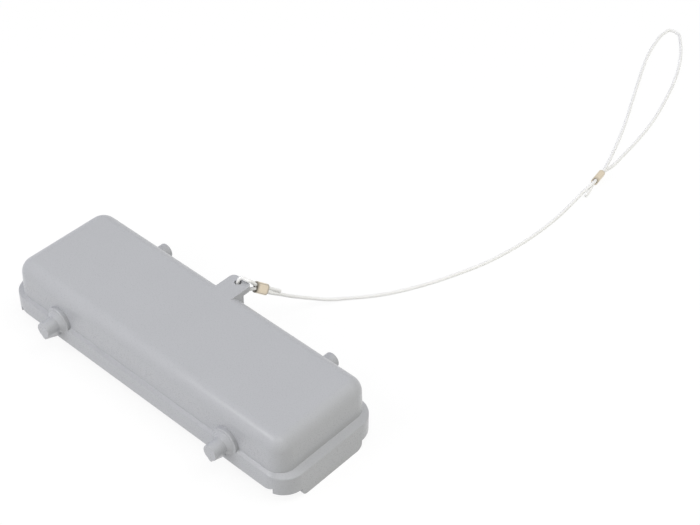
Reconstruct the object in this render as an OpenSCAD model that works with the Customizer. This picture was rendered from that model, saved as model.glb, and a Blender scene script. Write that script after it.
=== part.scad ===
// Heavy-duty connector cover, a moulded cap with four locking pegs and a cord on a tab.
// Millimetres, +Z up. The end skirts stand on the floor at z = 0, the cavity opens downward.

/* [Flange] */
// Length of the flange, end to end
flange_l = 126; // [112:1:140]
// Width of the flange, side to side
flange_w = 41.8; // [38:0.2:48]
// Corner radius of the flange
flange_r = 7.75; // [6:0.25:9]
// Height of the flange's shoulder, where its upright wall ends
shoulder_z = 9.5; // [9:0.1:10.2]
// Height of the sloping band between the flange and the dome
slope_h = 2.4; // [1.6:0.1:3]
// Thickness of the moulded walls
wall = 2.6; // [2:0.1:3]

/* [Lower edge] */
// Height of the long lower edges
edge_z = 4.2; // [3.6:0.1:4.6]
// Height of the feet at the corners
foot_z = 3.4; // [2.6:0.1:3.5]
// Length of each foot along the long side, from the end of the flange
foot_l = 5.3; // [4.5:0.1:6.5]
// Radius at the ends of the long lower edges
edge_r = 6; // [5:0.25:8]
// Length of that rounding beside each foot
edge_run = 3.6; // [2.5:0.1:4.5]
// Width of the skirt at each end
skirt_w = 27; // [20:0.5:29]
// Radius of the skirt's lower corners
skirt_r = 2.2; // [1:0.1:3]

/* [Dome] */
// How far the dome stands in from the flange at the ends
inset_end = 2.6; // [2:0.1:4]
// How far the dome stands in from the flange at the long sides
inset_side = 0.9; // [0.6:0.1:2]
// Corner radius of the dome at its foot
dome_r = 5.9; // [5.6:0.1:7]
// Draft of the dome's walls, in degrees
draft = 2.5; // [1:0.25:4]
// Height of the dome's top
top_z = 23.4; // [22:0.2:30]
// Radius of the fillet round the top
top_r = 4.8; // [3:0.1:4.9]
// Thickness of the roof
roof = 2.6; // [2:0.1:4]

/* [Pegs] */
// Distance between the two pegs of one side
peg_pitch = 76.2; // [50:0.2:90]
// Height of the pegs' axis
peg_z = 11.3; // [11:0.1:12]
// Diameter of a peg
peg_d = 5.4; // [4:0.1:6]
// Length of a peg from the flange's wall
peg_l = 6.1; // [4.5:0.1:8]
// Bevel round the end of a peg
peg_bevel = 0.35; // [0.1:0.05:0.6]
// Depth of the keel below the axis at the tip
keel_tip = 3.9; // [3.2:0.1:4.4]
// Depth of the keel below the axis at the root
keel_root = 6.5; // [4.6:0.1:6.8]
// Diameter of the boss round a peg
boss_d = 10.4; // [9:0.1:11]
// How far the boss stands out from the flange's wall
boss_proud = 0.5; // [0.3:0.05:1]
// Bevel round the face of the boss
boss_bevel = 0.35; // [0.2:0.05:0.9]
// Diameter of the cone between boss and peg at its foot
collar_d = 8; // [7.5:0.1:8.5]
// Height of that cone
collar_h = 0.9; // [0.4:0.1:1.5]

/* [Tab] */
// Place of the cord tab along the cover, from the middle
tab_x = 0.5; // [-1:0.1:1]
// Width of the cord tab
tab_w = 8.4; // [7:0.1:12]
// Length of the tab beyond the flange's wall
tab_l = 4.2; // [4:0.1:7]
// Thickness of the tab's plate
tab_t = 2.2; // [1.8:0.1:3]
// Corner radius of the tab
tab_r = 2; // [0.8:0.1:3]
// Diameter of the cord hole
hole_d = 2.4; // [2:0.1:2.8]
// Distance of the hole's centre from the tab's end
hole_back = 2.3; // [2.1:0.05:2.8]
// How far the pad under the tab stands out from the flange's wall
pad_out = 0.2; // [0.1:0.1:0.6]

/* [Cord] */
// Diameter of the cord
cord_d = 1.2; // [0.8:0.05:1.4]
// Gap between the two strands in a ferrule
strand_gap = 0.12; // [0.05:0.01:0.3]

/* [Ferrules] */
// Length of a ferrule
ferrule_l = 5.2; // [4:0.1:8]
// Thickness of a ferrule's wall
ferrule_wall = 0.6; // [0.4:0.02:0.8]
// Clearance round the strands in a ferrule
ferrule_gap = 0.06; // [0.04:0.01:0.12]

/* [Hidden] */
$fn = 64;
over = 1;
fillet_steps = 10;

dome_l = flange_l - 2 * inset_end;
dome_w = flange_w - 2 * inset_side;
slope_top = shoulder_z + slope_h;
// The cavity stays a wall's thickness clear of the sloping band.
shelf_z = shoulder_z - 0.4 * wall;
foot_x = flange_l / 2 - foot_l;
peg_x = peg_pitch / 2;
peg_r = peg_d / 2;
side_y = flange_w / 2;
boss_y = side_y + boss_proud;
tip_y = side_y + peg_l;
tab_y = side_y + tab_l;
hole_y = tab_y - hole_back;

// Rounded block with vertical walls, from four corner posts and two bars.
module rounded_block(l, w, r, z0, z1) {
    translate([-l / 2 + r, -w / 2, z0]) cube([l - 2 * r, w, z1 - z0]);
    translate([-l / 2, -w / 2 + r, z0]) cube([l, w - 2 * r, z1 - z0]);
    for (sx = [-1, 1], sy = [-1, 1])
        translate([sx * (l / 2 - r), sy * (w / 2 - r), z0]) cylinder(r = r, h = z1 - z0);
}

// Upright outline beside a corner's axis: a drafted wall, then a fillet up to a flat top.
function to_micron(v) = round(v * 1000) / 1000;
function drafted_side(r, z0, z1, fillet) =
    let (
        cz = z1 - fillet,
        cu = r - (cz - z0) * tan(draft) - fillet / cos(draft),
        step = (90 - draft) / fillet_steps
    )
    concat([[r, z0]],
        [
            for (a = [draft : step : 90.01])
                [to_micron(cu + fillet * cos(a)), to_micron(cz + fillet * sin(a))]
        ]);

// Bar between the corners, with that outline on both sides of the middle line, along Y.
module drafted_bar(reach, length, side) {
    right = [for (p = side) [reach + p.x, p.y]];
    left = [for (i = [len(side) - 1 : -1 : 0]) [-reach - side[i].x, side[i].y]];
    rotate([90, 0, 0]) linear_extrude(height = length, center = true)
        polygon(concat(right, left));
}

// Drafted block with round corners and a filleted top.
module drafted_block(l, w, r, z0, z1, fillet) {
    xc = l / 2 - r;
    yc = w / 2 - r;
    side = drafted_side(r, z0, z1, fillet);
    drafted_bar(xc, 2 * yc, side);
    rotate([0, 0, 90]) drafted_bar(yc, 2 * xc, side);
    for (sx = [0, 1], sy = [0, 1])
        mirror([sx, 0, 0]) mirror([0, sy, 0]) translate([xc, yc, 0])
            rotate_extrude(angle = 90) polygon(concat([[0, z0]], side, [[0, z1]]));
}

// Sloping band from the flange's outline to the dome's.
module slope() {
    thin = 0.02;
    hull() {
        rounded_block(flange_l, flange_w, flange_r, shoulder_z - thin, shoulder_z);
        rounded_block(dome_l, dome_w, dome_r, slope_top - thin, slope_top);
    }
}

// Skirt that reaches below the feet in the middle of each end, and follows the flange's outline.
module skirt() {
    y0 = skirt_w / 2 - skirt_r;
    x0 = flange_l / 2 - wall;
    intersection() {
        rounded_block(flange_l, flange_w, flange_r, 0, shelf_z);
        union() {
            translate([x0, -skirt_w / 2, skirt_r]) cube([wall, skirt_w, shelf_z - skirt_r]);
            translate([x0, -y0, 0]) cube([wall, 2 * y0, shelf_z]);
            for (s = [-1, 1]) translate([x0, s * y0, skirt_r])
                rotate([0, 90, 0]) cylinder(r = skirt_r, h = wall);
        }
    }
}

// Side view of what is cut away below the long edges, with rounded ends beside the feet.
module edge_cut() {
    turn_x = foot_x - edge_run;
    rotate([90, 0, 0]) linear_extrude(height = flange_w + 2 * over, center = true) union() {
        translate([-foot_x, -over]) square([2 * foot_x, edge_z + over]);
        for (s = [0, 1]) mirror([s, 0]) difference() {
            translate([turn_x, edge_z - over]) square([edge_run, over + edge_run]);
            translate([turn_x, edge_z + edge_r]) circle(r = edge_r);
        }
    }
}

// Section of the keel under a peg, from the apex to the two lines that touch a circle.
function keel_points(r, depth) =
    let (a = asin(r / depth))
    [[-r * cos(a), -r * sin(a)], [0, -depth], [r * cos(a), -r * sin(a)]];

// Peg with its boss and keel on the front wall, pointing along -Y from the axis at the origin.
module peg() {
    thin = 0.02;
    // The keel's edges and its end lie this far inside the peg.
    keel_in = 0.1;
    inner = side_y - inset_side - 0.6 * wall;
    rotate([90, 0, 0]) {
        translate([0, 0, inner]) cylinder(d = boss_d, h = boss_y - boss_bevel - inner);
        translate([0, 0, boss_y - boss_bevel])
            cylinder(d1 = boss_d, d2 = boss_d - 2 * boss_bevel, h = boss_bevel);
        translate([0, 0, boss_y]) cylinder(d1 = collar_d, d2 = peg_d, h = collar_h);
        translate([0, 0, inner]) cylinder(r = peg_r, h = tip_y - peg_bevel - inner);
        translate([0, 0, tip_y - peg_bevel])
            cylinder(r1 = peg_r, r2 = peg_r - peg_bevel, h = peg_bevel);
        hull() {
            translate([0, 0, side_y - 0.3 * wall]) linear_extrude(height = thin)
                polygon(keel_points(peg_r - keel_in, keel_root));
            translate([0, 0, tip_y - keel_in - thin]) linear_extrude(height = thin)
                polygon(keel_points(peg_r - peg_bevel - keel_in, keel_tip));
        }
    }
}

// Plate flush with the dome's top, with a pad below that stands on the flange.
module tab() {
    y0 = side_y - inset_side - top_r - wall;
    z0 = top_z - tab_t;
    pad_y0 = side_y - inset_side - wall / 2 - top_z * tan(draft);
    translate([tab_x, 0, 0]) {
        translate([-tab_w / 2, y0, z0]) cube([tab_w, tab_y - tab_r - y0, tab_t]);
        translate([-tab_w / 2 + tab_r, y0, z0]) cube([tab_w - 2 * tab_r, tab_y - y0, tab_t]);
        for (s = [-1, 1])
            translate([s * (tab_w / 2 - tab_r), tab_y - tab_r, z0]) cylinder(r = tab_r, h = tab_t);
        translate([-tab_w / 2, pad_y0, shoulder_z])
            cube([tab_w, side_y + pad_out - pad_y0, z0 + tab_t / 2 - shoulder_z]);
    }
}

// Hollow under the flange and the dome, open downward.
module cavity() {
    rounded_block(flange_l - 2 * wall, flange_w - 2 * wall, flange_r - wall, -over, shelf_z);
    drafted_block(dome_l - 2 * wall, dome_w - 2 * wall, dome_r - wall, shelf_z - over,
        top_z - roof, top_r - wall);
}

module cover() {
    color("silver") difference() {
        union() {
            difference() {
                rounded_block(flange_l, flange_w, flange_r, foot_z, shoulder_z);
                edge_cut();
            }
            for (s = [0, 1]) mirror([s, 0, 0]) skirt();
            slope();
            drafted_block(dome_l, dome_w, dome_r, slope_top - over, top_z, top_r);
            tab();
            for (sx = [-1, 1], sy = [0, 1])
                mirror([0, sy, 0]) translate([sx * peg_x, 0, peg_z]) peg();
        }
        cavity();
        translate([tab_x, hole_y, top_z - tab_t - over]) cylinder(d = hole_d, h = tab_t + 2 * over);
    }
}

// The cord's route. Near the tab it hangs from the hole, then it lies on the floor.
cord_r = cord_d / 2;
// Height of the cord's middle where it lies on the floor
lie = cord_r + 0.04;
strand_pitch = cord_d + strand_gap;
near_pos = [3.9, 29.6, 18.4];
near_turn = [-41, -17, 1];
far_pos = [39.2, 170, 1.9];
far_turn = [0, 23, 10];

// A vector turned about X, then Y, then Z.
function turn(v, a) =
    let (
        p = [v.x, v.y * cos(a.x) - v.z * sin(a.x), v.y * sin(a.x) + v.z * cos(a.x)],
        q = [p.x * cos(a.y) + p.z * sin(a.y), p.y, p.z * cos(a.y) - p.x * sin(a.y)]
    )
    [q.x * cos(a.z) - q.y * sin(a.z), q.x * sin(a.z) + q.y * cos(a.z), q.z];

// A point on one strand of a ferrule, measured along it from the ferrule's middle.
function strand(pos, a, side, along) = pos + turn([0, along, side * strand_pitch / 2], a);

half_l = ferrule_l / 2;
tail = 6.5;
near_out = [
    strand(near_pos, near_turn, 1, half_l + tail),
    strand(near_pos, near_turn, 1, half_l + 1),
    strand(near_pos, near_turn, 1, half_l),
    strand(near_pos, near_turn, 1, -half_l)
];
round_tab = [
    [3.6, 27.2, 21.6],
    [3.8, 26.3, 22.7],
    [3.8, 25.6, 23.8],
    [3.3, 24.9, 24.3],
    [2.2, 24.5, 24.5],
    [1.1, 24.2, 24.7],
    [0.5, 23.7, 24.3],
    [0.2, 23.1, 23.4],
    [0.3, 23, 21.4],
    [0.7, 23.1, 20.5],
    [1.4, 23.8, 19.9],
    [2.3, 25, 19.7],
    [3, 26.2, 19.8]
];
near_back = [
    strand(near_pos, near_turn, -1, -half_l),
    strand(near_pos, near_turn, -1, half_l),
    strand(near_pos, near_turn, -1, half_l + 2)
];
run = [
    [5.4, 37.6, 11.2],
    [5.8, 41.6, 8],
    [6.6, 45.6, 5.3],
    [8.4, 49.6, 3.2],
    [11, 53.4, 1.8],
    [15.3, 59.8, 0.8],
    [22.4, 69.2, lie],
    [29.1, 81.6, lie],
    [34.3, 94.8, lie],
    [37.8, 106, lie],
    [40, 118, lie],
    [41.2, 132, lie],
    [41, 145, lie],
    [40.2, 154, 0.8],
    [39.9, 160, 1.5]
];
far_out = [
    strand(far_pos, far_turn, 1, -half_l - 1),
    strand(far_pos, far_turn, 1, -half_l),
    strand(far_pos, far_turn, 1, half_l),
    strand(far_pos, far_turn, 1, half_l + 1)
];
loop = [
    [37.2, 178.6, 1.9],
    [34.2, 186.4, 0.9],
    [30, 197.4, lie],
    [25.4, 208.4, lie],
    [20.2, 219.6, lie],
    [15.2, 230.6, lie],
    [10.4, 241.2, lie],
    [6.2, 251.6, lie],
    [3.4, 261, lie],
    [2.1, 268.4, lie],
    [2.8, 272.6, lie],
    [6, 272.8, lie],
    [10.8, 268, lie],
    [14.8, 262.4, lie],
    [20.8, 251.4, lie],
    [25.4, 240.6, lie],
    [29.8, 227.4, lie],
    [33.2, 215.4, lie],
    [35.6, 203, lie],
    [37.2, 191, lie],
    [38.3, 180.4, 0.7]
];
far_back = [
    strand(far_pos, far_turn, -1, half_l + 1),
    strand(far_pos, far_turn, -1, half_l),
    strand(far_pos, far_turn, -1, -half_l),
    strand(far_pos, far_turn, -1, -half_l - 1),
    [40.8, 162.6, 0.8],
    [41.5, 159.4, lie]
];
route = concat(near_out, round_tab, near_back, run, far_out, loop, far_back);

// Smooth curve through the route's points, with more rings on long stretches and bends.
ring_step = 6;
bend_step = 30;
last = len(route) - 1;
function unit(v) = v / norm(v);
function gap(i) = norm(route[i + 1] - route[i]);
function slope_at(i) =
    i == 0 ? (route[1] - route[0]) / gap(0)
    : i == last ? (route[last] - route[last - 1]) / gap(last - 1)
    : ((route[i + 1] - route[i]) / gap(i) * gap(i - 1)
        + (route[i] - route[i - 1]) / gap(i - 1) * gap(i)) / (gap(i) + gap(i - 1));
function on_curve(i, t) =
    let (h = gap(i))
    route[i] * (2 * t ^ 3 - 3 * t ^ 2 + 1) + slope_at(i) * h * (t ^ 3 - 2 * t ^ 2 + t)
    + route[i + 1] * (3 * t ^ 2 - 2 * t ^ 3) + slope_at(i + 1) * h * (t ^ 3 - t ^ 2);
function bend(i) = acos(min(1, unit(slope_at(i)) * unit(slope_at(i + 1))));
function steps(i) = max(1, round(gap(i) / ring_step), round(bend(i) / bend_step));
path = concat([for (i = [0 : last - 1], k = [0 : steps(i) - 1]) on_curve(i, k / steps(i))],
    [route[last]]);

function heading(i) = unit(path[min(i + 1, len(path) - 1)] - path[max(i - 1, 0)]);
function level(v, t) = unit(v - (v * t) * t);
// Side vectors carried along the curve, so that the tube doesn't twist.
function sides(i, v) =
    i == len(path) ? [] : let (n = level(v, heading(i))) concat([n], sides(i + 1, n));

module cord() {
    ring = 8;
    across = sides(0, [1, 0, 0]);
    points = [
        for (i = [0 : len(path) - 1], k = [0 : ring - 1])
            let (a = 360 * k / ring, n = across[i], b = cross(heading(i), n))
            path[i] + cord_r * (cos(a) * n + sin(a) * b)
    ];
    ends = len(path) - 1;
    faces = concat(
        [[for (k = [0 : ring - 1]) k]],
        [
            for (i = [0 : ends - 1], k = [0 : ring - 1])
                [i * ring + k, (i + 1) * ring + k, (i + 1) * ring + (k + 1) % ring,
                    i * ring + (k + 1) % ring]
        ],
        [[for (k = [ring - 1 : -1 : 0]) ends * ring + k]]
    );
    color("white") polyhedron(points = points, faces = faces, convexity = 6);
}

// Flat bar with round long edges, along Y, for the sleeve and for its slot.
module stadium(thick, wide, length) {
    rotate([90, 0, 0]) linear_extrude(height = length, center = true) union() {
        square([thick, wide - thick], center = true);
        for (s = [-1, 1]) translate([0, s * (wide - thick) / 2]) circle(d = thick);
    }
}

// Sleeve crimped over two strands that lie one above the other.
module ferrule() {
    slot = cord_d + 2 * ferrule_gap;
    difference() {
        stadium(slot + 2 * ferrule_wall, slot + strand_pitch + 2 * ferrule_wall, ferrule_l);
        stadium(slot, slot + strand_pitch, ferrule_l + 2 * over);
    }
}

module near_ferrule() {
    color("tan") translate(near_pos) rotate(near_turn) ferrule();
}

module far_ferrule() {
    color("tan") translate(far_pos) rotate(far_turn) ferrule();
}

cover();
cord();
near_ferrule();
far_ferrule();
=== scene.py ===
"""Dresses the connector cover.

A moulded cap with locking pegs, a white cord and two crimped ferrules.
"""

import math

import bmesh
import bpy
from bpy.props import FloatProperty, FloatVectorProperty, IntProperty, PointerProperty
from mathutils import Euler, Matrix, Vector


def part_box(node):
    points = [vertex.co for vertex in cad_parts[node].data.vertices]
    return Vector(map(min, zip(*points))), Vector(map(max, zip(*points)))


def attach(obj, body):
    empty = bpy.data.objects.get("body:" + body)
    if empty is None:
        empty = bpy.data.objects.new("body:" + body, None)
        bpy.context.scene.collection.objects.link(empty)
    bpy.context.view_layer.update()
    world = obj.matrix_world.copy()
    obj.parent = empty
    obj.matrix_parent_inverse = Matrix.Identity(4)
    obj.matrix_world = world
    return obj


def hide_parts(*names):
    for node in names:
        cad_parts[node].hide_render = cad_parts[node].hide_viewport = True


bl_info = {
    "name": "Connector Cover",
    "version": (1, 0, 0),
    "blender": (4, 5, 0),
    "location": "View3D > Sidebar > Cover",
    "description": "Models a moulded connector cover with its cord, ferrules and studio",
    "category": "Add Mesh",
}

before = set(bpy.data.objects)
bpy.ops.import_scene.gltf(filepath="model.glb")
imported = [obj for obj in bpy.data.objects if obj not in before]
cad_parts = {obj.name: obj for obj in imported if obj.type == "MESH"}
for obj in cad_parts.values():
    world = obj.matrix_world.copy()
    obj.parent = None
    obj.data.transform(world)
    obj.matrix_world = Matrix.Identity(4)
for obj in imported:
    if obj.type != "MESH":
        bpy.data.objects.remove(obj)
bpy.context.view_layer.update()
COVER_LOW, COVER_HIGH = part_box("cover")
BODY = "root"
MM = 0.001

# Places closer than this count as one, and points closer than the second are merged
SAME = 0.02 * MM
MERGED = 0.0005 * MM

# A face whose normal goes this far along an axis looks that way
FACING = 0.9


# Properties

def size(name, description, millimetres):
    """A length that a user can change, given in millimetres."""
    return FloatProperty(name=name, description=description, default=millimetres * MM,
                         min=0.0, precision=5, unit="LENGTH")


def turned(name, description, degrees):
    """An angle that a user can change, given in degrees."""
    return FloatProperty(name=name, description=description, default=math.radians(degrees),
                         unit="ROTATION")


def colour(name, description, value):
    """A colour that a user can change, in linear values."""
    return FloatVectorProperty(name=name, description=description, default=value, size=3,
                               min=0.0, max=1.0, subtype="COLOR")


def number(name, description, value):
    """A plain factor that a user can change."""
    return FloatProperty(name=name, description=description, default=value, min=0.0)


class ShellSizes(bpy.types.PropertyGroup):
    """Sizes of the moulded shell."""
    length: size("Length", "Flange from end to end", (COVER_HIGH.x - COVER_LOW.x) / MM)
    width: size("Width", "Flange from side to side", 41.8)
    corner: size("Corner radius", "Corner radius of the flange", 7.75)
    shoulder: size("Shoulder height", "Where the flange's upright wall meets the ledge", 10.25)
    wall: size("Wall", "Thickness of the moulded walls", 2.6)
    shelf: size("Shelf height", "Where the cavity steps in below the slope", 8.46)
    shoulder_round: size("Shoulder rounding", "Rounding of the flange's shoulder", 0.35)
    root: size("Dome root", "Where the dome leaves the sloping ledge", 11.1)
    dome_length: size("Dome length", "Dome at its foot, end to end", 120.75)
    dome_width: size("Dome width", "Dome at its foot, side to side", 39.4)
    dome_corner: size("Dome corner radius", "Corner radius of the dome at its foot", 5.87)
    draft: turned("Draft", "Lean of the dome's walls", 2.5)
    top: size("Top height", "Height of the dome's top", COVER_HIGH.z / MM)
    top_round: size("Top rounding", "Fillet round the dome's top", 4.8)
    roof: size("Roof", "Thickness of the roof", 2.6)
    foot: size("Foot height", "Height of the feet at the corners", 3.4)
    foot_length: size("Foot length", "Foot along the long side", 5.3)
    edge: size("Edge height", "Height of the long lower edges", 4.2)
    edge_round: size("Edge rounding", "Radius at the ends of the long edges", 6.0)
    edge_run: size("Rounding length", "Length of that rounding beside a foot", 3.6)
    skirt_round: size("Skirt rounding", "Radius of the skirts' lower corners", 2.2)
    corner_steps: IntProperty(name="Corner steps", description="Faces round a corner",
                              default=14, min=4, max=32)
    fillet_steps: IntProperty(name="Fillet steps", description="Faces across the top fillet",
                              default=12, min=4, max=32)


class PegSizes(bpy.types.PropertyGroup):
    """Sizes of the locking pegs."""
    pitch: size("Pitch", "Distance between the pegs of one side", 76.2)
    height: size("Height", "Height of the pegs' axis", 11.3)
    diameter: size("Diameter", "Diameter of a peg", 5.4)
    reach: size("Reach", "Distance of a peg's tip from the middle plane", COVER_HIGH.y / MM)
    tip_bevel: size("Tip rounding", "Rounding of a peg's end", 0.35)
    boss: size("Boss diameter", "Diameter of the boss round a peg", 9.8)
    boss_face: size("Boss face", "Distance of the boss's face from the middle plane", 21.0)
    boss_bevel: size("Boss rounding", "Rounding of the boss's rim", 0.45)
    boss_back: size("Boss back", "Where the boss ends inside the wall", 18.5)
    collar: size("Collar diameter", "Cone between boss and peg at its foot", 8.3)
    collar_height: size("Collar height", "Height of that cone", 1.4)
    keel_tip: size("Keel at tip", "Depth of the keel below the axis at the tip", 3.9)
    keel_root: size("Keel at root", "Depth of the keel below the axis at the wall", 6.5)
    keel_start: size("Keel start", "Where the keel begins inside the wall", 20.12)
    keel_soft: size("Keel rounding", "Rounding of the keel's ridge", 0.3)


class TabSizes(bpy.types.PropertyGroup):
    """Sizes of the cord tab."""
    place: size("Place", "Middle of the tab along the cover", 0.5)
    width: size("Width", "Width of the tab", 8.4)
    reach: size("Reach", "Distance of the tab's end from the middle plane", 25.1)
    start: size("Start", "Where the tab's plate begins inside the dome", 13.2)
    thickness: size("Thickness", "Thickness of the tab's plate", 2.2)
    corner: size("Corner radius", "Corner radius of the tab", 2.0)
    soft: size("Edge rounding", "Rounding of the tab's edges", 0.2)
    hole: size("Hole diameter", "Diameter of the cord hole", 2.4)
    hole_reach: size("Hole reach", "Distance of the hole from the middle plane", 22.8)
    pad_reach: size("Pad reach", "Front of the pad under the tab", 21.1)
    pad_start: size("Pad start", "Where the pad begins inside the wall", 17.7)
    pad_low: size("Pad foot", "Height of the pad's foot", 9.5)


class CordSizes(bpy.types.PropertyGroup):
    """Sizes of the cord and its ferrules."""
    diameter: size("Cord diameter", "Diameter of the cord", 1.2)
    pitch: size("Strand pitch", "Distance between the strands in a ferrule", 1.32)
    tail: size("Tail", "Length of the cut end beyond the near ferrule", 6.5)
    ferrule: size("Ferrule length", "Length of a ferrule", 5.2)
    thick: size("Ferrule thickness", "Thickness of a ferrule across its flat sides", 2.52)
    wide: size("Ferrule width", "Width of a ferrule over both strands", 3.84)
    sheet: size("Ferrule sheet", "Thickness of the ferrule's metal", 0.6)
    seam: size("Seam depth", "Depth of the folded seam", 0.34)


class Finishes(bpy.types.PropertyGroup):
    """Colours of the pieces and the floor."""
    plastic: colour("Plastic", "Light grey moulded plastic", (0.468, 0.475, 0.5))
    cord: colour("Cord", "White cord", (0.98, 0.976, 0.976))
    metal: colour("Ferrule metal", "Pale brass of the ferrules", (0.75, 0.66, 0.52))
    floor: colour("Floor", "White floor", (0.77, 0.77, 0.77))


class StageSettings(bpy.types.PropertyGroup):
    """Camera and light."""
    turn: turned("Turn", "Camera's turn round the cover", 41.418)
    rise: turned("Rise", "Camera's angle above the floor", 41.512)
    roll: turned("Roll", "Camera's roll", 1.157)
    lens: number("Lens", "Focal length in millimetres on a 36 mm sensor", 82.45)
    world: number("World light", "Strength of the light from all round", 0.42)
    key: number("Key light", "Power of the small light above the left side, in watts", 0.24)
    front: number("Front light", "Power of the soft light before the cover, in watts", 4.5)
    back: number("Back light", "Power of the soft light behind the right end, in watts", 7.9)
    over: number("Top light", "Power of the small light overhead, in watts", 0.42)


# Modelling helpers

def leave_edit():
    """Goes back from edit mode to object mode."""
    bpy.ops.object.mode_set(mode="OBJECT")


def start_clean():
    """Leaves edit mode and deselects everything."""
    if bpy.context.mode != "OBJECT":
        leave_edit()
    bpy.ops.object.select_all(action="DESELECT")


def settle():
    """Puts the active piece's place, turn and scale into its mesh."""
    bpy.ops.object.transform_apply(location=True, rotation=True, scale=True)


def add_to_scene(thing):
    """Links a new object to the scene."""
    bpy.context.scene.collection.objects.link(thing)


def pick(piece):
    """Makes one piece the only selected and active one."""
    start_clean()
    piece.select_set(True)
    bpy.context.view_layer.objects.active = piece


def edit(piece):
    """Opens a piece in edit mode."""
    pick(piece)
    bpy.ops.object.mode_set(mode="EDIT")


def select(piece, kind, wanted):
    """Selects the vertices, edges or faces that pass a test, in edit mode."""
    bpy.ops.mesh.select_mode(type=kind)
    bpy.ops.mesh.select_all(action="DESELECT")
    mesh = bmesh.from_edit_mesh(piece.data)
    kinds = {"VERT": mesh.verts, "EDGE": mesh.edges, "FACE": mesh.faces}
    for element in kinds[kind]:
        if wanted(element):
            element.select_set(True)
    mesh.select_flush_mode()
    bmesh.update_edit_mesh(piece.data)


def level(edge, height):
    """Whether both ends of an edge lie at one height."""
    return all(abs(v.co.z - height) < SAME for v in edge.verts)


def block(low, high):
    """A box between two corners, from the cube primitive."""
    start_clean()
    low, high = Vector(low), Vector(high)
    bpy.ops.mesh.primitive_cube_add(size=1, location=(low + high) / 2)
    piece = bpy.context.active_object
    piece.scale = high - low
    settle()
    return piece


def rounded_plate(length, width, radius, height, steps):
    """A flat plate with round corners, left in edit mode with its face selected."""
    start_clean()
    bpy.ops.mesh.primitive_plane_add(size=1, location=(0, 0, height))
    plate = bpy.context.active_object
    plate.scale = (length, width, 1)
    settle()
    edit(plate)
    bpy.ops.mesh.select_mode(type="VERT")
    bpy.ops.mesh.select_all(action="SELECT")
    bpy.ops.mesh.bevel(offset=radius, segments=steps, affect="VERTICES")
    bpy.ops.mesh.select_mode(type="FACE")
    bpy.ops.mesh.select_all(action="SELECT")
    return plate


def cut(place, normal):
    """Cuts the whole mesh along a plane and keeps both sides."""
    bpy.ops.mesh.select_all(action="SELECT")
    bpy.ops.mesh.bisect(plane_co=place, plane_no=normal)


def round_edges(radius, steps):
    """Rounds the selected edges."""
    bpy.ops.mesh.bevel(offset=radius, segments=steps, affect="EDGES")


def grow(inward, outward):
    """Insets the selected face and moves it along its normal."""
    bpy.ops.mesh.inset(thickness=inward, depth=outward, use_even_offset=True, use_boundary=True)


def round_over(radius, start, steps):
    """Insets the selected face in steps along a fillet that starts at an angle."""
    step = (math.pi / 2 - start) / steps
    for i in range(steps):
        low, high = start + i * step, start + (i + 1) * step
        grow(radius * (math.cos(low) - math.cos(high)), radius * (math.sin(high) - math.sin(low)))


def upright_wall(length, width, radius, low, high, steps):
    """An open wall that follows a rounded outline."""
    wall = rounded_plate(length, width, radius, low, steps)
    grow(0.0, high - low)
    bpy.ops.mesh.delete(type="ONLY_FACE")
    return wall


def drafted_cap(length, width, radius, low, top, fillet, sizes):
    """A leaning wall with a fillet up to a flat top, open below."""
    cap = rounded_plate(length, width, radius, low, sizes.corner_steps)
    lean = sizes.draft
    rise = top - low - fillet * (1 - math.sin(lean))
    grow(rise * math.tan(lean), rise)
    round_over(fillet, lean, sizes.fillet_steps)
    return cap


def turn_inside(piece):
    """Turns the faces of an open piece to its inside."""
    edit(piece)
    bpy.ops.mesh.select_all(action="SELECT")
    bpy.ops.mesh.flip_normals()


def join(first, *others):
    """Joins pieces into the first one."""
    pick(first)
    for other in others:
        other.select_set(True)
    bpy.ops.object.join()


def bridge(piece, low, high):
    """Closes the gap between the two open loops in a range of heights."""
    select(piece, "EDGE", lambda e: len(e.link_faces) < 2
           and all(low - SAME < v.co.z < high + SAME for v in e.verts))
    bpy.ops.mesh.bridge_edge_loops()


def combine(piece, other, operation):
    """Unites a piece with another one or cuts the other one away."""
    pick(piece)
    modifier = piece.modifiers.new("combine", "BOOLEAN")
    modifier.object = other
    modifier.operation = operation
    modifier.solver = "EXACT"
    bpy.ops.object.modifier_apply(modifier=modifier.name)
    bpy.data.objects.remove(other)


def copy_of(piece, place, angle):
    """A copy with its own mesh, turned about Z and moved, with its place in its mesh."""
    copied = piece.copy()
    copied.data = piece.data.copy()
    add_to_scene(copied)
    pick(copied)
    copied.location = place
    copied.rotation_euler = (0, 0, angle)
    settle()
    return copied


def even_shading(piece, degrees):
    """Smooth shading that keeps sharp edges sharp and flat faces flat."""
    pick(piece)
    bpy.ops.object.shade_smooth_by_angle(angle=math.radians(degrees))
    modifier = piece.modifiers.new("even_shading", "WEIGHTED_NORMAL")
    modifier.keep_sharp = True
    modifier.weight = 100
    bpy.ops.object.modifier_apply(modifier=modifier.name)


def close_up(piece):
    """Merges doubles and turns all faces outwards."""
    edit(piece)
    bpy.ops.mesh.select_all(action="SELECT")
    bpy.ops.mesh.remove_doubles(threshold=MERGED)
    bpy.ops.mesh.dissolve_degenerate(threshold=MERGED)
    bpy.ops.mesh.select_all(action="SELECT")
    bpy.ops.mesh.normals_make_consistent(inside=False)
    leave_edit()


def seat(piece, name, material, slot, *nodes):
    """Names a finished piece, gives it its material and lets it stand for its nodes."""
    piece.name = name
    piece.data.name = name
    piece.data.materials.clear()
    piece.data.materials.append(material)
    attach(piece, BODY)
    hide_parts(*nodes)


# The moulded shell

# Faces across the roundings of shell, pegs and tab, and round the pegs and the hole
SHOULDER_STEPS, SKIRT_STEPS, EDGE_STEPS = 6, 6, 6
BOSS_STEPS, TIP_STEPS, KEEL_STEPS = 4, 3, 3
TAB_CORNER_STEPS, TAB_EDGE_STEPS = 8, 2
PEG_SIDES, HOLE_SIDES = 48, 32

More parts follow.
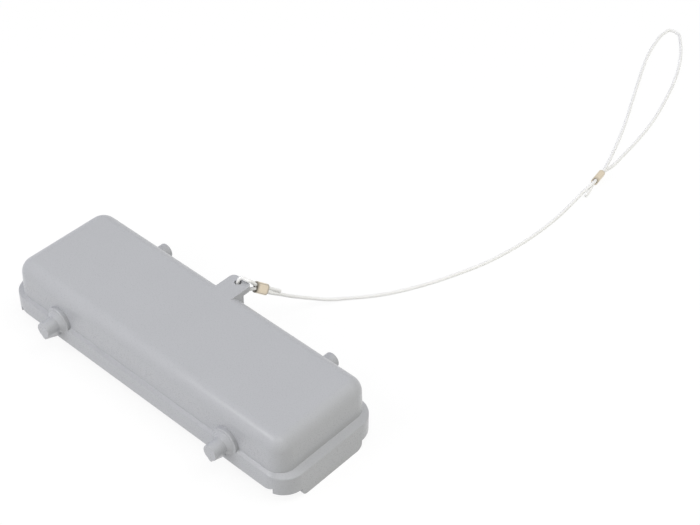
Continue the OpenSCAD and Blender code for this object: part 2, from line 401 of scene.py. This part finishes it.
# How far the cutter stands out past the walls and below the floor
CUTTER_PROUD = 2 * MM

# How far the keel's flanks lie inside the pin, and its end behind the pin's end
KEEL_INSIDE, KEEL_BEHIND = 0.1 * MM, 0.04 * MM

# How far the tab's plate lies below the dome's top
TAB_SUNK = 0.01 * MM

# Edges that turn by more degrees than this stay sharp
COVER_CREASE, FERRULE_CREASE = 32, 35


def model_shell(s):
    """The cap's wall: outside, inside, rim and end skirts."""
    steps = s.corner_steps
    flange = upright_wall(s.length, s.width, s.corner, s.foot, s.shoulder, steps)
    dome = drafted_cap(s.dome_length, s.dome_width, s.dome_corner, s.root, s.top,
                       s.top_round, s)
    inner = 2 * s.wall
    mouth = upright_wall(s.length - inner, s.width - inner, s.corner - s.wall, s.foot,
                         s.shelf, steps)
    spread = (s.root - s.shelf) * math.tan(s.draft)
    hollow = drafted_cap(s.dome_length - inner + 2 * spread, s.dome_width - inner + 2 * spread,
                         s.dome_corner - s.wall + spread, s.shelf, s.top - s.roof,
                         s.top_round - s.wall, s)
    turn_inside(mouth)
    turn_inside(hollow)
    join(flange, dome, mouth, hollow)
    edit(flange)
    bridge(flange, s.shoulder, s.root)
    bridge(flange, s.shelf, s.shelf)
    bridge(flange, s.foot, s.foot)
    select(flange, "EDGE", lambda e: level(e, s.shoulder))
    round_edges(s.shoulder_round, SHOULDER_STEPS)
    close_up(flange)
    edit(flange)
    end, middle = s.length / 2 - s.wall, 1 * MM
    select(flange, "FACE", lambda f: f.normal.z < -FACING
           and abs(f.calc_center_median().x) > end
           and abs(f.calc_center_median().y) < middle)
    bpy.ops.mesh.extrude_region_move(TRANSFORM_OT_translate={"value": (0, 0, -s.foot)})
    select(flange, "EDGE", lambda e: level(e, 0.0)
           and abs(e.verts[0].co.y - e.verts[1].co.y) < SAME)
    round_edges(s.skirt_round, SKIRT_STEPS)
    leave_edit()
    return flange


def edge_cutter(s):
    """A bar that raises the long lower edges, with rounded ends beside the feet."""
    end = s.length / 2 - s.foot_length
    turn = end - s.edge_run
    side = s.width / 2 + CUTTER_PROUD
    bar = block((-end, -side, -CUTTER_PROUD), (end, side, s.edge))
    edit(bar)
    rows = [turn + s.edge_run * step / EDGE_STEPS for step in range(EDGE_STEPS + 1)]
    for row in rows[:-1]:
        for sign in (-1, 1):
            cut((sign * row, 0, 0), (1, 0, 0))
    for row in rows[1:]:
        run = row - turn
        rise = s.edge_round - math.sqrt(s.edge_round ** 2 - run ** 2)
        select(bar, "VERT", lambda v: abs(abs(v.co.x) - row) < SAME and v.co.z > 0)
        bpy.ops.transform.translate(value=(0, 0, rise))
    leave_edit()
    return bar


def model_peg(p):
    """A boss, cone and pin from one cylinder, with a keel below, pointing along -Y."""
    start_clean()
    front = p.boss_face - p.boss_bevel
    bpy.ops.mesh.primitive_cylinder_add(vertices=PEG_SIDES, radius=p.boss / 2,
                                        depth=front - p.boss_back,
                                        location=(0, -(front + p.boss_back) / 2, 0),
                                        rotation=(math.pi / 2, 0, 0))
    peg = bpy.context.active_object
    settle()
    edit(peg)
    select(peg, "FACE", lambda f: f.normal.y < -FACING)
    round_over(p.boss_bevel, 0, BOSS_STEPS)
    grow((p.boss - p.collar) / 2 - p.boss_bevel, 0.0)
    grow((p.collar - p.diameter) / 2, p.collar_height)
    grow(0.0, p.reach - p.tip_bevel - p.boss_face - p.collar_height)
    round_over(p.tip_bevel, 0, TIP_STEPS)
    leave_edit()
    combine(peg, model_keel(p), "UNION")
    return peg


def model_keel(p):
    """The wedge under a pin, from a box whose lower side is drawn together to a ridge."""
    radius = p.diameter / 2 - KEEL_INSIDE
    root, tip = (math.asin(radius / depth) for depth in (p.keel_root, p.keel_tip))
    end = -p.reach + KEEL_BEHIND
    wedge = block((-radius * math.cos(root), end, -p.keel_root),
                  (radius * math.cos(root), -p.keel_start, -radius * math.sin(root)))
    edit(wedge)
    select(wedge, "VERT", lambda v: v.co.z < -p.keel_root + SAME)
    bpy.ops.transform.resize(value=(0, 1, 1))
    bpy.ops.mesh.remove_doubles(threshold=SAME)
    select(wedge, "VERT", lambda v: v.co.y < end + SAME and v.co.z < -p.keel_root + SAME)
    bpy.ops.transform.translate(value=(0, 0, p.keel_root - p.keel_tip))
    select(wedge, "VERT", lambda v: v.co.y < end + SAME and abs(v.co.x) > SAME)
    bpy.ops.transform.translate(value=(0, 0, radius * (math.sin(root) - math.sin(tip))))
    bpy.ops.transform.resize(value=(math.cos(tip) / math.cos(root), 1, 1))
    select(wedge, "EDGE", lambda e: all(abs(v.co.x) < SAME for v in e.verts))
    round_edges(p.keel_soft, KEEL_STEPS)
    cut((0, end + p.tip_bevel, 0), (0, 1, 0))
    select(wedge, "VERT", lambda v: v.co.y < end + SAME)
    inward = 1 - p.tip_bevel / radius
    bpy.ops.transform.resize(value=(inward, 1, inward), center_override=(0, end, 0))
    leave_edit()
    return wedge


def model_tab(t, s):
    """The plate flush with the dome's top and the pad that carries it."""
    left, right = t.place - t.width / 2, t.place + t.width / 2
    under = s.top - t.thickness
    plate = block((left, t.start, under), (right, t.reach, s.top - TAB_SUNK))
    edit(plate)
    select(plate, "EDGE", lambda e: all(v.co.y > t.reach - SAME for v in e.verts)
           and abs(e.verts[0].co.z - e.verts[1].co.z) > SAME)
    round_edges(t.corner, TAB_CORNER_STEPS)
    select(plate, "EDGE", lambda e: abs(e.verts[0].co.z - e.verts[1].co.z) < SAME
           and max(v.co.y for v in e.verts) > t.start + SAME)
    round_edges(t.soft, TAB_EDGE_STEPS)
    leave_edit()
    pad = block((left + SAME, t.pad_start, t.pad_low),
                (right - SAME, t.pad_reach, under + t.thickness / 2))
    combine(plate, pad, "UNION")
    return plate


def model_cover(scene):
    """The whole moulding, with its pegs and tab united with the shell."""
    s, p, t = scene.cover_shell, scene.cover_pegs, scene.cover_tab
    cover = model_shell(s)
    combine(cover, edge_cutter(s), "DIFFERENCE")
    peg = model_peg(p)
    for along in (-1, 1):
        for angle in (0, math.pi):
            place = (along * p.pitch / 2, 0, p.height)
            combine(cover, copy_of(peg, place, angle), "UNION")
    bpy.data.objects.remove(peg)
    combine(cover, model_tab(t, s), "UNION")
    start_clean()
    bpy.ops.mesh.primitive_cylinder_add(vertices=HOLE_SIDES, radius=t.hole / 2,
                                        depth=2 * t.thickness,
                                        location=(t.place, t.hole_reach, s.top - t.thickness / 2))
    combine(cover, bpy.context.active_object, "DIFFERENCE")
    close_up(cover)
    even_shading(cover, COVER_CREASE)
    return cover


# The cord

# Roundness and steps of its curve, and the steps in which a stretch is measured
CORD_ROUNDNESS, CORD_STEPS, MEASURE_STEPS = 4, 10, 16

# How far a strand runs straight on outside a ferrule
STRAIGHT = 1 * MM

# Height of the cord's middle where it lies on the floor, in millimetres
LIE = 0.64

# Each ferrule's place in millimetres and its turn in degrees
NEAR_POS, NEAR_TURN = (3.9, 29.6, 18.4), (-41, -17, 1)
FAR_POS, FAR_TURN = (39.2, 170, 1.9), (0, 23, 10)

# Points of the cord's middle between the ferrules and at its end, in millimetres
ROUND_TAB = (
    (3.6, 27.2, 21.6), (3.8, 26.3, 22.7), (3.8, 25.6, 23.8), (3.3, 24.9, 24.3), (2.2, 24.5, 24.5),
    (1.1, 24.2, 24.7), (0.5, 23.7, 24.3), (0.2, 23.1, 23.4), (0.3, 23, 21.4), (0.7, 23.1, 20.5),
    (1.4, 23.8, 19.9), (2.3, 25, 19.7), (3, 26.2, 19.8),
)
RUN = (
    (5.4, 37.6, 11.2), (5.8, 41.6, 8), (6.6, 45.6, 5.3), (8.4, 49.6, 3.2), (11, 53.4, 1.8),
    (15.3, 59.8, 0.8), (22.4, 69.2, LIE), (29.1, 81.6, LIE), (34.3, 94.8, LIE), (37.8, 106, LIE),
    (40, 118, LIE), (41.2, 132, LIE), (41, 145, LIE), (40.2, 154, 0.8), (39.9, 160, 1.5),
)
LOOP = (
    (37.2, 178.6, 1.9), (34.2, 186.4, 0.9), (30, 197.4, LIE), (25.4, 208.4, LIE),
    (20.2, 219.6, LIE), (15.2, 230.6, LIE), (10.4, 241.2, LIE), (6.2, 251.6, LIE), (3.4, 261, LIE),
    (2.1, 268.4, LIE), (2.8, 272.6, LIE), (6, 272.8, LIE), (10.8, 268, LIE), (14.8, 262.4, LIE),
    (20.8, 251.4, LIE), (25.4, 240.6, LIE), (29.8, 227.4, LIE), (33.2, 215.4, LIE),
    (35.6, 203, LIE), (37.2, 191, LIE), (38.3, 180.4, 0.7),
)
FAR_TAIL = ((40.8, 162.6, 0.8), (41.5, 159.4, LIE))


def placing(place, turn):
    """The matrix that sets a ferrule in its place, given in millimetres and degrees."""
    angles = Euler([math.radians(a) for a in turn], "XYZ")
    return Matrix.Translation(Vector(place) * MM) @ angles.to_matrix().to_4x4()


def cord_route(c):
    """The cord's points in metres: tail, tab, near ferrule, floor, far ferrule and loop."""
    half = c.ferrule / 2

    def strand(place, turn, side, *along):
        """Points on one of the two strands in a ferrule."""
        matrix = placing(place, turn)
        return [matrix @ Vector((0, y, side * c.pitch / 2)) for y in along]

    def metres(points):
        """Points of the route in metres."""
        return [Vector(p) * MM for p in points]

    return (
        strand(NEAR_POS, NEAR_TURN, 1, half + c.tail, half + STRAIGHT, half, -half)
        + metres(ROUND_TAB)
        + strand(NEAR_POS, NEAR_TURN, -1, -half, half, half + 2 * STRAIGHT)
        + metres(RUN)
        + strand(FAR_POS, FAR_TURN, 1, -half - STRAIGHT, -half, half, half + STRAIGHT)
        + metres(LOOP)
        + strand(FAR_POS, FAR_TURN, -1, half + STRAIGHT, half, -half, -half - STRAIGHT)
        + metres(FAR_TAIL)
    )


def model_cord(c):
    """A round cord on one smooth open spline through the route's points."""
    points = cord_route(c)
    gaps = [(b - a).length for a, b in zip(points, points[1:])]
    runs = [(b - a) / g for a, b, g in zip(points, points[1:], gaps)]
    slopes = [runs[0]]
    for i in range(1, len(runs)):
        slopes.append((runs[i] * gaps[i - 1] + runs[i - 1] * gaps[i]) / (gaps[i] + gaps[i - 1]))
    slopes.append(runs[-1])
    curve = bpy.data.curves.new("cord", "CURVE")
    curve.dimensions = "3D"
    curve.bevel_depth = c.diameter / 2
    curve.bevel_resolution = CORD_ROUNDNESS
    curve.resolution_u = CORD_STEPS
    curve.use_fill_caps = True
    spline = curve.splines.new("BEZIER")
    spline.bezier_points.add(len(points) - 1)
    for i, knot in enumerate(spline.bezier_points):
        before = gaps[max(i - 1, 0)] / 3
        after = gaps[min(i, len(gaps) - 1)] / 3
        knot.handle_left_type = knot.handle_right_type = "FREE"
        knot.co = points[i]
        knot.handle_left = points[i] - slopes[i] * before
        knot.handle_right = points[i] + slopes[i] * after
    cord = bpy.data.objects.new("white_cord", curve)
    add_to_scene(cord)
    return cord, sum(spline_lengths(spline))


def spline_lengths(spline):
    """Lengths of a spline's stretches, measured in short steps."""
    for a, b in zip(spline.bezier_points, spline.bezier_points[1:]):
        last = a.co.copy()
        total = 0.0
        for k in range(1, MEASURE_STEPS + 1):
            t = k / MEASURE_STEPS
            u = 1 - t
            here = (a.co * u ** 3 + a.handle_right * 3 * u * u * t
                    + b.handle_left * 3 * u * t * t + b.co * t ** 3)
            total += (here - last).length
            last = here
        yield total


# The ferrules

# Faces round each side and across the bevel of the ends
FERRULE_STEPS, FERRULE_END_STEPS = 8, 2

# Half the seam's width, the bevel of the ends, and the width of the painted shade behind them
SEAM_HALF, FERRULE_BEVEL, SHADE_WIDTH = 0.3 * MM, 0.1 * MM, 1 * MM

# How strongly painted shade darkens the seams and the two ferrules
SEAM_SHADE, NEAR_SHADE, FAR_SHADE = 0.9, 0.9, 0.3


def model_ferrule(c, seam_side, shade_strength):
    """A flattened sleeve of folded sheet, open at both ends, with its seam on one flat side."""
    sleeve = block((-c.thick / 2, -c.ferrule / 2, -c.wide / 2),
                   (c.thick / 2, c.ferrule / 2, c.wide / 2))
    edit(sleeve)
    select(sleeve, "EDGE", lambda e: abs(e.verts[0].co.y - e.verts[1].co.y) > SAME)
    round_edges(c.thick / 2, FERRULE_STEPS)
    bpy.ops.mesh.select_all(action="SELECT")
    bpy.ops.mesh.remove_doubles(threshold=SAME)
    select(sleeve, "FACE", lambda f: abs(f.normal.y) > FACING)
    bpy.ops.mesh.inset(thickness=c.sheet, depth=0, use_even_offset=True)
    bpy.ops.mesh.delete(type="FACE")
    select(sleeve, "EDGE", lambda e: e.is_boundary)
    bpy.ops.mesh.bridge_edge_loops()
    for height in (-SEAM_HALF, 0.0, SEAM_HALF):
        cut((0, 0, height), (0, 0, 1))
    select(sleeve, "VERT", lambda v: abs(v.co.z) < SAME
           and v.co.x * seam_side > c.thick / 2 - SAME)
    bpy.ops.transform.translate(value=(-seam_side * c.seam, 0, 0))
    end = c.ferrule / 2
    select(sleeve, "EDGE", lambda e: all(abs(v.co.y) > end - SAME for v in e.verts)
           and len({round(f.normal.y) for f in e.link_faces}) > 1)
    round_edges(FERRULE_BEVEL, FERRULE_END_STEPS)
    # Extra rows of vertices, so that the painted shade at the ends can fade in
    for row in (SHADE_WIDTH / 2, SHADE_WIDTH):
        for sign in (-1, 1):
            cut((0, sign * (end - row), 0), (0, 1, 0))
    leave_edit()
    close_up(sleeve)
    # Paints shade round the ends, in the seam and inside the sleeve
    mark_painted_shade(sleeve, c, shade_strength)
    return sleeve


def mark_painted_shade(sleeve, c, shade_strength):
    """Marks where a ferrule is darkened by painted shade: round its ends, in its seam and inside.
    """
    # The mark is painted shade, standing in for dark reflections at the ends and the shadow in the
    # seam and inside
    marks = sleeve.data.attributes.new("tarnish", "FLOAT", "POINT")
    deep = c.sheet / 2
    for vertex, mark in zip(sleeve.data.vertices, marks.data):
        x, y, z = (abs(value) for value in vertex.co)
        at_end = max(0.0, 1 - (c.ferrule / 2 - y) / SHADE_WIDTH)
        in_seam = z < SAME and SAME < c.thick / 2 - x
        inside = x < c.thick / 2 - deep and z < c.wide / 2 - deep
        mark.value = max(shade_strength if inside else shade_strength * at_end,
                         SEAM_SHADE if in_seam else 0.0)


def place_ferrule(piece, place, turn):
    """Sets a ferrule in its place, with the place in its mesh."""
    pick(piece)
    piece.matrix_world = placing(place, turn)
    settle()
    even_shading(piece, FERRULE_CREASE)


# Finishes

# Share of each base colour that the painted shade leaves
SHADE_SHARE = (0.34, 0.36, 0.4)


def new_material(name):
    """A material with its node tree, its main shader and its object coordinates."""
    material = bpy.data.materials.new(name)
    material.use_nodes = True
    nodes = material.node_tree.nodes
    shader = nodes["Principled BSDF"]
    place = nodes.new("ShaderNodeTexCoord")
    return material, nodes, material.node_tree.links, shader, place


def noise(nodes, links, place, scale, detail):
    """Noise on the object's own coordinates, with its waves per metre as scale."""
    texture = nodes.new("ShaderNodeTexNoise")
    texture.inputs["Scale"].default_value = scale
    texture.inputs["Detail"].default_value = detail
    links.new(place.outputs["Object"], texture.inputs["Vector"])
    return texture.outputs["Fac"]


def ranged(nodes, links, source, low, high):
    """A value from a texture, spread over a range."""
    spread = nodes.new("ShaderNodeMapRange")
    spread.inputs["To Min"].default_value = low
    spread.inputs["To Max"].default_value = high
    links.new(source, spread.inputs["Value"])
    return spread.outputs["Result"]


def tinted(nodes, links, source, base, low, high):
    """A colour that varies about a base with a texture."""
    ramp = nodes.new("ShaderNodeValToRGB")
    ramp.color_ramp.elements[0].color = (*[x * low for x in base], 1)
    ramp.color_ramp.elements[1].color = (*[min(1, x * high) for x in base], 1)
    links.new(source, ramp.inputs["Fac"])
    return ramp.outputs["Color"]


def blended(nodes, links, factor, first, second):
    """A colour that goes by a factor from a socket's colour to a fixed one."""
    mix = nodes.new("ShaderNodeMix")
    mix.data_type = "RGBA"
    inputs = {socket.identifier: socket for socket in mix.inputs}
    outputs = {socket.identifier: socket for socket in mix.outputs}
    inputs["B_Color"].default_value = (*second, 1)
    links.new(factor, inputs["Factor_Float"])
    links.new(first, inputs["A_Color"])
    return outputs["Result_Color"]


def bumped(nodes, links, shader, source, strength, height):
    """A bump from a texture on the shader's normal."""
    bump = nodes.new("ShaderNodeBump")
    bump.inputs["Strength"].default_value = strength
    bump.inputs["Distance"].default_value = height
    links.new(source, bump.inputs["Height"])
    links.new(bump.outputs["Normal"], shader.inputs["Normal"])


def plastic_finish(base):
    """Satin moulded plastic with a fine spark-eroded grain."""
    material, nodes, links, shader, place = new_material("grey_plastic")
    cloud = noise(nodes, links, place, scale=60, detail=3)
    grain = noise(nodes, links, place, scale=3200, detail=2)
    links.new(tinted(nodes, links, cloud, base, low=0.975, high=1.025),
              shader.inputs["Base Color"])
    links.new(ranged(nodes, links, grain, low=0.25, high=0.31), shader.inputs["Roughness"])
    bumped(nodes, links, shader, grain, strength=0.25, height=0.014 * MM)
    return material


def cord_finish(base):
    """White cord with a fine fibrous surface."""
    material, nodes, links, shader, place = new_material("cord_white")
    fibre = noise(nodes, links, place, scale=900, detail=3)
    links.new(tinted(nodes, links, fibre, base, low=0.97, high=1.02), shader.inputs["Base Color"])
    links.new(ranged(nodes, links, fibre, low=0.4, high=0.5), shader.inputs["Roughness"])
    shader.inputs["Sheen Weight"].default_value = 0.4
    shader.inputs["Sheen Roughness"].default_value = 0.5
    bumped(nodes, links, shader, fibre, strength=0.1, height=0.03 * MM)
    return material


def metal_finish(base):
    """Pale brass with a fine grain, darkened with painted shade where its mesh is marked."""
    material, nodes, links, shader, place = new_material("ferrule_metal")
    grain = noise(nodes, links, place, scale=700, detail=4)
    # Painted shade: the marked ends, seam and inside turn darker
    marks = nodes.new("ShaderNodeAttribute")
    marks.attribute_name = "tarnish"
    shade_amount = ranged(nodes, links, marks.outputs["Fac"], low=0.0, high=0.9)
    bright = tinted(nodes, links, grain, base, low=0.86, high=1.1)
    shade_colour = [x * share for x, share in zip(base, SHADE_SHARE)]
    links.new(blended(nodes, links, shade_amount, bright, shade_colour), shader.inputs["Base Color"])
    links.new(ranged(nodes, links, grain, low=0.28, high=0.45), shader.inputs["Roughness"])
    shader.inputs["Metallic"].default_value = 1.0
    bumped(nodes, links, shader, grain, strength=0.3, height=0.03 * MM)
    return material


# Stage

# The camera's place in metres, its sensor in millimetres, and its shift
CAMERA_PLACE = Vector((277.9, -237.7, 368.9)) * MM
SENSOR_WIDTH, CAMERA_SHIFT = 36.0, -0.0026

# The floor's side in metres, and where it is seen, the share that takes light and its own glow
FLOOR_SIZE, FLOOR_SHADED, FLOOR_GLOW = 20, 0.13, 0.89

# Colour of the world's light from the left and from the right
COOL, WARM = (0.98, 1.0, 1.22), (1.02, 1.0, 0.78)

# Each lamp's name, setting, side, place and target in metres, and whether reflections show it
LAMPS = (
    ("key_light", "key", 0.12, (-0.092, -0.222, 0.312), (0.02, 0, 0.02), True),
    ("top_light", "over", 0.2, (0.2, -0.16, 0.58), (0.05, -0.01, 0.02), True),
    ("front_light", "front", 0.9, (-0.32, -1.2, 0.5), (0, 0, 0.02), False),
    ("back_light", "back", 1.0, (0.57, 0.57, 1.27), (0, 0, 0.02), False),
)


def seen(nodes, links):
    """One where a ray comes from the camera, a reflection or glass, and else nought."""
    path = nodes.new("ShaderNodeLightPath")
    seen_by = path.outputs["Is Camera Ray"]
    for name in ("Is Glossy Ray", "Is Transmission Ray"):
        most = nodes.new("ShaderNodeMath")
        most.operation = "MAXIMUM"
        links.new(seen_by, most.inputs[0])
        links.new(path.outputs[name], most.inputs[1])
        seen_by = most.outputs[0]
    return seen_by


def floor_finish(base):
    """A white floor that looks white to the camera and still takes a soft shadow."""
    material = bpy.data.materials.new("floor_white")
    material.use_nodes = True
    nodes, links = material.node_tree.nodes, material.node_tree.links
    nodes.clear()
    lit = nodes.new("ShaderNodeBsdfDiffuse")
    lit.inputs["Color"].default_value = (*base, 1)
    shaded = nodes.new("ShaderNodeBsdfDiffuse")
    shaded.inputs["Color"].default_value = (*[FLOOR_SHADED] * 3, 1)
    glow = nodes.new("ShaderNodeEmission")
    glow.inputs["Strength"].default_value = FLOOR_GLOW
    pale = nodes.new("ShaderNodeAddShader")
    links.new(shaded.outputs[0], pale.inputs[0])
    links.new(glow.outputs[0], pale.inputs[1])
    mix = nodes.new("ShaderNodeMixShader")
    links.new(seen(nodes, links), mix.inputs["Fac"])
    links.new(lit.outputs[0], mix.inputs[1])
    links.new(pale.outputs[0], mix.inputs[2])
    output = nodes.new("ShaderNodeOutputMaterial")
    links.new(mix.outputs[0], output.inputs["Surface"])
    return material


def soft_light(name, power, side, place, target, mirrored):
    """A square lamp that faces a point, and may show in reflections."""
    data = bpy.data.lights.new(name, "AREA")
    data.energy = power
    data.size = side
    lamp = bpy.data.objects.new(name, data)
    lamp.location = place
    lamp.visible_glossy = mirrored
    aim = Vector(target) - Vector(place)
    lamp.rotation_euler = aim.to_track_quat("-Z", "Y").to_euler()
    add_to_scene(lamp)


def white_world(strength):
    """Light from all round, a little warmer from the right, and white where it is looked at."""
    world = bpy.data.worlds.new("studio")
    bpy.context.scene.world = world
    world.use_nodes = True
    nodes, links = world.node_tree.nodes, world.node_tree.links
    ground = nodes["Background"]
    place = nodes.new("ShaderNodeTexCoord")
    across = nodes.new("ShaderNodeSeparateXYZ")
    links.new(place.outputs["Generated"], across.inputs["Vector"])
    side = nodes.new("ShaderNodeMapRange")
    side.inputs["From Min"].default_value = -1.0
    links.new(across.outputs["X"], side.inputs["Value"])
    hue = nodes.new("ShaderNodeValToRGB")
    hue.color_ramp.elements[0].color = (*COOL, 1)
    hue.color_ramp.elements[1].color = (*WARM, 1)
    links.new(side.outputs["Result"], hue.inputs["Fac"])
    looked_at = seen(nodes, links)
    links.new(blended(nodes, links, looked_at, hue.outputs["Color"], (1, 1, 1)),
              ground.inputs["Color"])
    links.new(ranged(nodes, links, looked_at, low=strength, high=1.0), ground.inputs["Strength"])


def photo_camera(stage):
    """The camera at the photograph's angle."""
    az, el, roll = stage.turn, stage.rise, stage.roll
    back = Vector((math.sin(az) * math.cos(el), -math.cos(az) * math.cos(el), math.sin(el)))
    right = Vector((math.cos(az), math.sin(az), 0))
    up = back.cross(right)
    across = math.cos(roll) * right + math.sin(roll) * up
    upward = math.cos(roll) * up - math.sin(roll) * right
    data = bpy.data.cameras.new("photo_camera")
    data.sensor_width = SENSOR_WIDTH
    data.lens = stage.lens
    data.shift_y = CAMERA_SHIFT
    camera = bpy.data.objects.new("photo_camera", data)
    turned_to = Matrix((across, upward, back)).transposed().to_4x4()
    camera.matrix_world = Matrix.Translation(CAMERA_PLACE) @ turned_to
    add_to_scene(camera)
    bpy.context.scene.camera = camera


# Operators

class COVER_OT_stage(bpy.types.Operator):
    """Sets up the camera, the white floor and the soft studio light"""
    bl_idname = "connector_cover.stage"
    bl_label = "Set the Stage"

    def execute(self, context):
        stage, finish = context.scene.cover_stage, context.scene.cover_finish
        context.scene.view_settings.view_transform = "Standard"
        photo_camera(stage)
        start_clean()
        bpy.ops.mesh.primitive_plane_add(size=FLOOR_SIZE)
        floor = context.active_object
        floor.name = "floor"
        floor.data.materials.append(floor_finish(finish.floor))
        white_world(stage.world)
        for name, setting, side, place, target, mirrored in LAMPS:
            soft_light(name, getattr(stage, setting), side, place, target, mirrored)
        return {"FINISHED"}


class COVER_OT_ferrules(bpy.types.Operator):
    """Models the two crimped ferrules"""
    bl_idname = "connector_cover.ferrules"
    bl_label = "Add the Ferrules"

    def execute(self, context):
        cord = context.scene.cover_cord
        metal = metal_finish(context.scene.cover_finish.metal)
        # The last column is how strongly painted shade darkens each ferrule
        for name, place, turn, seam_side, shade_strength in (
                ("near_ferrule", NEAR_POS, NEAR_TURN, -1, NEAR_SHADE),
                ("far_ferrule", FAR_POS, FAR_TURN, 1, FAR_SHADE)):
            piece = model_ferrule(cord, seam_side, shade_strength)
            place_ferrule(piece, place, turn)
            seat(piece, name + "_sleeve", metal, "ferrule_metal", name)
        return {"FINISHED"}


class COVER_OT_cord(bpy.types.Operator):
    """Lays the white cord along its route"""
    bl_idname = "connector_cover.cord"
    bl_label = "Lay the Cord"

    def execute(self, context):
        sizes, tab, shell = (context.scene.cover_cord, context.scene.cover_tab,
                             context.scene.cover_shell)
        piece, length = model_cord(sizes)
        seat(piece, "white_cord", cord_finish(context.scene.cover_finish.cord), "cord_white",
             "cord")
        return {"FINISHED"}


class COVER_OT_shell(bpy.types.Operator):
    """Models the moulded cover with its pegs and tab"""
    bl_idname = "connector_cover.shell"
    bl_label = "Add the Cover"

    def execute(self, context):
        piece = model_cover(context.scene)
        seat(piece, "moulded_cover", plastic_finish(context.scene.cover_finish.plastic),
             "cover_plastic", "cover")
        return {"FINISHED"}


class COVER_PT_panel(bpy.types.Panel):
    """Lists the pieces in the 3D view's sidebar"""
    bl_idname = "COVER_PT_panel"
    bl_label = "Connector Cover"
    bl_space_type = "VIEW_3D"
    bl_region_type = "UI"
    bl_category = "Cover"

    def draw(self, context):
        for operator in OPERATORS:
            self.layout.operator(operator.bl_idname)
        for name in GROUPS:
            box = self.layout.box()
            group = getattr(context.scene, name)
            for key in group.__annotations__:
                box.prop(group, key)


OPERATORS = (COVER_OT_stage, COVER_OT_ferrules, COVER_OT_cord, COVER_OT_shell)
GROUPS = {"cover_shell": ShellSizes, "cover_pegs": PegSizes, "cover_tab": TabSizes,
          "cover_cord": CordSizes, "cover_finish": Finishes, "cover_stage": StageSettings}


def register():
    """Registers the settings, the operators and the panel."""
    for group in GROUPS.values():
        bpy.utils.register_class(group)
    for name, group in GROUPS.items():
        setattr(bpy.types.Scene, name, PointerProperty(type=group))
    for operator in OPERATORS:
        bpy.utils.register_class(operator)
    bpy.utils.register_class(COVER_PT_panel)


def unregister():
    """Takes them out again."""
    bpy.utils.unregister_class(COVER_PT_panel)
    for operator in reversed(OPERATORS):
        bpy.utils.unregister_class(operator)
    for name, group in reversed(GROUPS.items()):
        delattr(bpy.types.Scene, name)
        bpy.utils.unregister_class(group)


def main():
    """Makes the stage and the pieces."""
    register()
    bpy.ops.connector_cover.stage()
    bpy.ops.connector_cover.ferrules()
    bpy.ops.connector_cover.cord()
    bpy.ops.connector_cover.shell()


if __name__ == "__main__":
    main()
